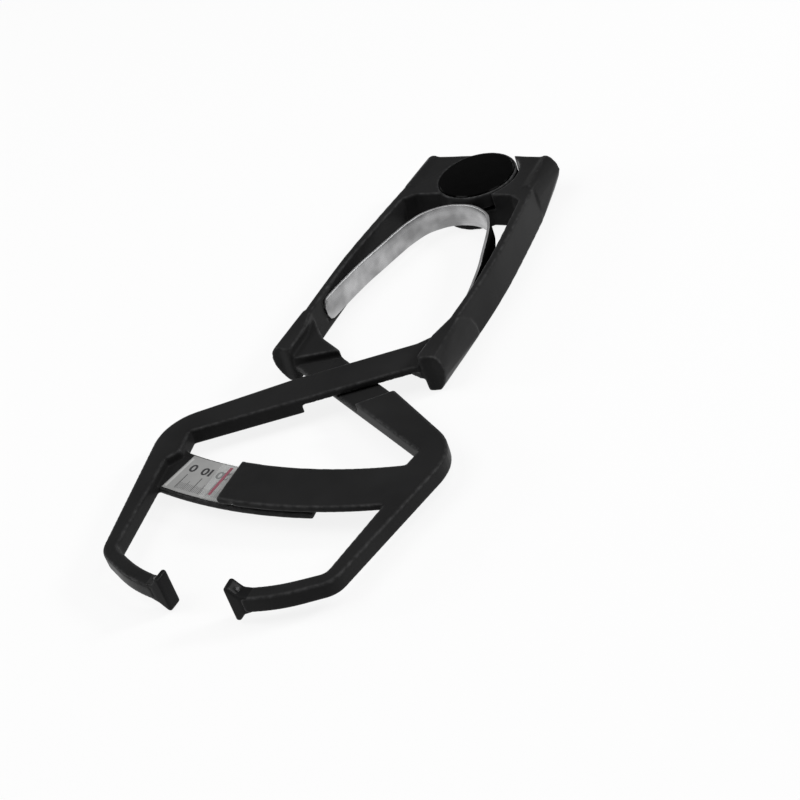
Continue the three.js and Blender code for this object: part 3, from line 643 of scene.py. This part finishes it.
def swept_spring():
    work = bmesh.new()
    rings = strip_rings(work)
    around = len(rings[0])
    for first, second in zip(rings, rings[1:]):
        for k in range(around):
            n = (k + 1) % around
            work.faces.new((first[k], first[n], second[n], second[k]))
    work.faces.new(rings[0])
    work.faces.new(rings[-1][::-1])
    bmesh.ops.recalc_face_normals(work, faces=work.faces)
    mesh = bpy.data.meshes.new("hairpin_spring")
    work.to_mesh(mesh)
    work.free()
    for polygon in mesh.polygons:
        polygon.use_smooth = True
    mesh.set_sharp_from_angle(angle=SHARP_FOLD)
    for finish in (spring_steel, spring_outside_shade, spring_rim):
        mesh.materials.append(finish)
    for i, polygon in enumerate(mesh.polygons[:around * (len(rings) - 1)]):
        # The outside faces take the painted shade.
        polygon.material_index = {INSIDE_FACE: STEEL, OUTSIDE_FACE: SHADED_SIDE}.get(i % around, RIM)
    piece = bpy.data.objects.new("hairpin_spring", mesh)
    scene.collection.objects.link(piece)
    return piece


spring = swept_spring()
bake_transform(spring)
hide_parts("leaf_spring")
print("spring faces", len(spring.data.polygons))

# %% [markdown]
# ## The printed scale: its angles
# The label reads the opening of the jaws, from 0 to 70 in steps of ten. The jaws are so long that
# equal openings are nearly equal angles, so one step has one angle. The print lies a hair above the
# label, because two faces at the same height would flicker into each other.

# %% Scale sizes
ZERO_DEG = -12.3
STEP_DEG = 2.292
STEP = 10
LAST = 70
INK_THICK = 0.02 * MM
PRINT_Z = label_top + 0.015 * MM


def scale_angle(reading):
    return math.radians(ZERO_DEG + STEP_DEG * reading / STEP)


print("scale runs from", ZERO_DEG, "to", round(math.degrees(scale_angle(LAST)), 2), "degrees")

# %% [markdown]
# ## The printed scale: the tick tree
# A scale is the textbook case for Geometry Nodes: the same mark again and again along an arc. A
# line of points is bent onto the arc by its index, a thin mark is set on each point and turned to
# point at the pivot, and the result is made real. The same tree prints the fine marks, the half
# marks and the long ones, with other numbers at its inputs.

# %% The tick tree
def tick_tree():
    tree = bpy.data.node_groups.new("scale ticks", "GeometryNodeTree")
    panel = tree.interface
    panel.new_socket("Geometry", in_out="OUTPUT", socket_type="NodeSocketGeometry")
    sockets = {}
    for name, kind in [
        ("Count", "NodeSocketInt"), ("First angle", "NodeSocketFloat"),
        ("Step angle", "NodeSocketFloat"), ("Middle radius", "NodeSocketFloat"),
        ("Length", "NodeSocketFloat"), ("Width", "NodeSocketFloat"),
        ("Height", "NodeSocketFloat"), ("Ink", "NodeSocketMaterial"),
    ]:
        sockets[name] = panel.new_socket(name, in_out="INPUT", socket_type=kind).identifier
    given = tree.nodes.new("NodeGroupInput")
    result = tree.nodes.new("NodeGroupOutput")
    index = tree.nodes.new("GeometryNodeInputIndex").outputs[0]
    first, step = given.outputs["First angle"], given.outputs["Step angle"]
    radius = given.outputs["Middle radius"]
    angle = compute(tree, "MULTIPLY_ADD", index, step, first)
    across = compute(tree, "MULTIPLY", compute(tree, "SINE", angle), radius)
    down = compute(tree, "MULTIPLY", compute(tree, "COSINE", angle), radius)
    place = tree.nodes.new("ShaderNodeCombineXYZ")
    tree.links.new(across, place.inputs["X"])
    tree.links.new(compute(tree, "MULTIPLY", down, -1.0), place.inputs["Y"])
    link(tree, given, "Height", place, "Z")
    line = tree.nodes.new("GeometryNodeMeshLine")
    link(tree, given, "Count", line, "Count")
    moved = tree.nodes.new("GeometryNodeSetPosition")
    link(tree, line, "Mesh", moved, "Geometry")
    link(tree, place, "Vector", moved, "Position")
    size = add(tree, "ShaderNodeCombineXYZ", Z=INK_THICK)
    link(tree, given, "Width", size, "X")
    link(tree, given, "Length", size, "Y")
    mark = tree.nodes.new("GeometryNodeMeshCube")
    link(tree, size, "Vector", mark, "Size")
    spin = tree.nodes.new("ShaderNodeCombineXYZ")
    tree.links.new(angle, spin.inputs["Z"])
    placed = tree.nodes.new("GeometryNodeInstanceOnPoints")
    link(tree, moved, "Geometry", placed, "Points")
    link(tree, mark, "Mesh", placed, "Instance")
    link(tree, spin, "Vector", placed, "Rotation")
    real = tree.nodes.new("GeometryNodeRealizeInstances")
    link(tree, placed, "Instances", real, "Geometry")
    inked = tree.nodes.new("GeometryNodeSetMaterial")
    link(tree, real, "Geometry", inked, "Geometry")
    link(tree, given, "Ink", inked, "Material")
    link(tree, inked, "Geometry", result, "Geometry")
    return tree, sockets


ticks, tick_sockets = tick_tree()
print("inputs of the tick tree", list(tick_sockets))

# %% [markdown]
# ## The printed scale: the ticks
# All marks end on one arc near the edge of the label, and differ in how far in they start. A
# modifier's inputs are set by the identifiers that the tree gave out, before it is first run.

# %% Print the ticks
TICK_EDGE = 202.6 * MM
TICKS = [
    ("scale_ticks_fine", 1, 199.2 * MM, 0.2 * MM, print_grey),
    ("scale_ticks_half", 5, 197.6 * MM, 0.22 * MM, print_grey),
    ("scale_ticks_long", 10, 194.8 * MM, 0.34 * MM, print_black),
]
for name, every, start, width, ink in TICKS:
    piece = bpy.data.objects.new(name, bpy.data.meshes.new(name))
    scene.collection.objects.link(piece)
    tool = piece.modifiers.new("ticks", "NODES")
    tool.node_group = ticks
    values = {
        "Count": LAST // every + 1,
        "First angle": scale_angle(0),
        "Step angle": scale_angle(every) - scale_angle(0),
        "Middle radius": (start + TICK_EDGE) / 2,
        "Length": TICK_EDGE - start,
        "Width": width,
        "Height": PRINT_Z,
        "Ink": ink,
    }
    for key, value in values.items():
        tool[tick_sockets[key]] = value
    fix_modifiers(piece, ink)
    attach(piece, THUMB)
    print(name, "marks", values["Count"], "faces", len(piece.data.polygons))

# %% [markdown]
# ## The printed scale: numbers
# The numbers are text objects made into meshes, because a text object would keep its font data.
# Each is centred, turned so that its top points away from the pivot, to read upright for the hand
# that holds the legs, and set on the label. The figures are wide and close together, so they are
# stretched and the space between them is cut.

# %% Numbers
NUMBER_SIZE = 5.3 * MM
NUMBER_WEIGHT = 0.15 * MM
NUMBER_THICK = 0.01 * MM
NUMBER_RADIUS = 191.0 * MM
NUMBER_SPACING = 0.8
NUMBER_STRETCH = 1.3


def flat_text(name, words):
    curve = bpy.data.curves.new(name, "FONT")
    curve.body = words
    curve.size = NUMBER_SIZE
    curve.align_x = "CENTER"
    curve.align_y = "CENTER"
    curve.offset = NUMBER_WEIGHT
    curve.space_character = NUMBER_SPACING
    curve.extrude = NUMBER_THICK
    written = bpy.data.objects.new(name + "_text", curve)
    scene.collection.objects.link(written)
    bpy.context.view_layer.update()
    ready = written.evaluated_get(bpy.context.evaluated_depsgraph_get())
    mesh = bpy.data.meshes.new_from_object(ready)
    bpy.data.objects.remove(written)
    return mesh


def print_number(reading):
    name = f"scale_number_{reading}"
    mesh = flat_text(name, str(reading))
    angle = scale_angle(reading)
    place = Vector((NUMBER_RADIUS * math.sin(angle), -NUMBER_RADIUS * math.cos(angle), PRINT_Z))
    mesh.transform(
        Matrix.Translation(place) @ Matrix.Rotation(angle + math.pi, 4, "Z")
        @ Matrix.Diagonal((NUMBER_STRETCH, 1.0, 1.0, 1.0))
    )
    mesh.materials.clear()
    mesh.materials.append(print_black)
    on_body(name, mesh, THUMB)


for reading in range(0, LAST + 1, STEP):
    print_number(reading)
print("numbers", list(range(0, LAST + 1, STEP)))

# %% [markdown]
# ## Border and reading line
# Two more marks are plain strips that point at the pivot: the pale border at the zero end of the
# label, and the red line in the window, which is what the scale is read against. The line replaces
# the narrower CAD one, because ink spreads a little.

# %% Border and reading line
def strip(name, angle_deg, near, far, width, level, thick, ink, body):
    turned = Matrix.Rotation(math.radians(angle_deg), 4, "Z")
    moved = Matrix.Translation((0.0, -(near + far) / 2, level))
    work = bmesh.new()
    bmesh.ops.create_cube(
        work, size=1.0, matrix=turned @ moved @ Matrix.Diagonal((width, far - near, thick, 1.0)),
    )
    mesh = bpy.data.meshes.new(name)
    work.to_mesh(mesh)
    work.free()
    mesh.materials.append(ink)
    return on_body(name, mesh, body)


strip("label_border", angle_deg=-13.55, near=186.8 * MM, far=203.2 * MM, width=1.1 * MM,
      level=PRINT_Z, thick=INK_THICK, ink=border_pale, body=THUMB)
line_low, line_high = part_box("cursor_line")
line = strip("reading_line", angle_deg=-6.62, near=188.5 * MM, far=203.8 * MM, width=1.25 * MM,
             level=(line_low.z + line_high.z) / 2, thick=0.14 * MM, ink=line_red, body=FINGER)
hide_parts("cursor_line")
print("reading line at height mm", round((line_low.z + line_high.z) / 2 / MM, 2))

# %% [markdown]
# ## Finishes on the CAD nodes
# The other solids have the right shape already, so they stay, and only take a finish. A node that
# a piece above stands for is hidden, and is passed over. All that isn't named here is turned steel:
# the screw, the nut, the bush, the rivets, the pins and the two steel washers.

# %% Finishes on the CAD nodes
finishes = {
    "front_cap": cap_gloss,
    "back_cap": arm_black,
    "scale_label": label_grey,
    "thrust_washer": washer_nylon,
}
shown = {name: part for name, part in nodes.items() if not part.hide_render}
for name, part in shown.items():
    for slot in part.material_slots:
        slot.material = finishes.get(name, turned_steel)
print("finished CAD nodes", sorted(shown))

# %% [markdown]
# ## Floor
# The floor is a plain pale sheet. For the camera, and for what is seen in steel and glass, it is
# white; a share of its real shading is kept so that the object's shadow still shows. The Light Path
# node tells the kinds of ray apart: camera, transmission and glossy rays see the white.

# %% Floor
FLOOR_SIZE = 6
FLOOR_WHITE = 0.86
bpy.ops.mesh.primitive_plane_add(size=FLOOR_SIZE)
floor = bpy.context.object
floor.name = "floor"
floor_finish, floor_tree, floor_shader = new_material("floor")
floor_shader.inputs["Base Color"].default_value = rgba(0.8)
floor_shader.inputs["Roughness"].default_value = 0.9
floor_shader.inputs["Specular IOR Level"].default_value = 0.0
white = add(floor_tree, "ShaderNodeEmission", Color=rgba(1.0), Strength=1.0)
rays = floor_tree.nodes.new("ShaderNodeLightPath").outputs
straight = compute(floor_tree, "MAXIMUM", rays["Is Camera Ray"], rays["Is Transmission Ray"])
seen = compute(floor_tree, "MAXIMUM", straight, rays["Is Glossy Ray"])
cover = floor_tree.nodes.new("ShaderNodeMixShader")
floor_tree.links.new(compute(floor_tree, "MULTIPLY", seen, FLOOR_WHITE), cover.inputs[0])
floor_tree.links.new(floor_shader.outputs[0], cover.inputs[1])
floor_tree.links.new(white.outputs[0], cover.inputs[2])
link(floor_tree, cover, 0, floor_tree.nodes["Material Output"], "Surface")
floor.data.materials.append(floor_finish)
print("floor", floor.name)

# %% [markdown]
# ## Surroundings
# The surroundings are a soft room: bright around the horizon, darker above. Black satin plastic
# then stays black on its upper faces and picks up a light rim where it turns away. The camera sees
# plain white behind the floor.

# %% Surroundings
ROOM = [(0.0, 0.75), (0.1, 0.75), (0.32, 0.2), (0.6, 0.12)]
world = bpy.data.worlds.new("studio")
scene.world = world
world.use_nodes = True
sky = world.node_tree
sky_coords = sky.nodes.new("ShaderNodeTexCoord")
sky_axis = sky.nodes.new("ShaderNodeSeparateXYZ")
link(sky, sky_coords, "Generated", sky_axis, "Vector")
room = ramp(sky, sky_axis, "Z", ROOM)
sky_rays = sky.nodes.new("ShaderNodeLightPath").outputs
sky_mix = overlay(sky, sky_rays["Is Camera Ray"], room, 1.0)
link(sky, sky_mix, "Result", sky.nodes["Background"], "Color")
print("surroundings", ROOM)

# %% [markdown]
# ## Lamps
# Two large soft lamps hang high, one at the left behind the hub and one at the right. Two narrow
# ones stand lower at the far right and the far left, and draw the thin bright lines along the
# edges of the arms. Each row gives a lamp's azimuth and elevation in degrees, its distance and its
# width in metres, and its power. The view transform is the plain one, so that colours come out as
# written.

# %% Lamps
LAMP_AIM = Vector((0.0, -120.0, 0.0)) * MM
LAMPS = [
    ("key", -150, 60, 1.6, 1.0, 12),
    ("fill", 15, 66, 1.7, 1.0, 9),
    ("edge", 31, 30, 1.6, 0.3, 13),
    ("rim", 195, 18, 1.6, 0.3, 6),
]
for name, azimuth_deg, elevation_deg, distance, width, watts in LAMPS:
    data = bpy.data.lights.new(name, "AREA")
    data.size = width
    data.energy = watts
    lamp = bpy.data.objects.new(name, data)
    scene.collection.objects.link(lamp)
    toward = direction(math.radians(azimuth_deg), math.radians(elevation_deg))
    facing = (-toward).to_track_quat("-Z", "Y").to_matrix().to_4x4()
    lamp.matrix_world = Matrix.Translation(LAMP_AIM + distance * toward) @ facing
    print(name, "at", [round(v, 2) for v in lamp.matrix_world.translation], "W", watts)
scene.view_settings.view_transform = "Standard"
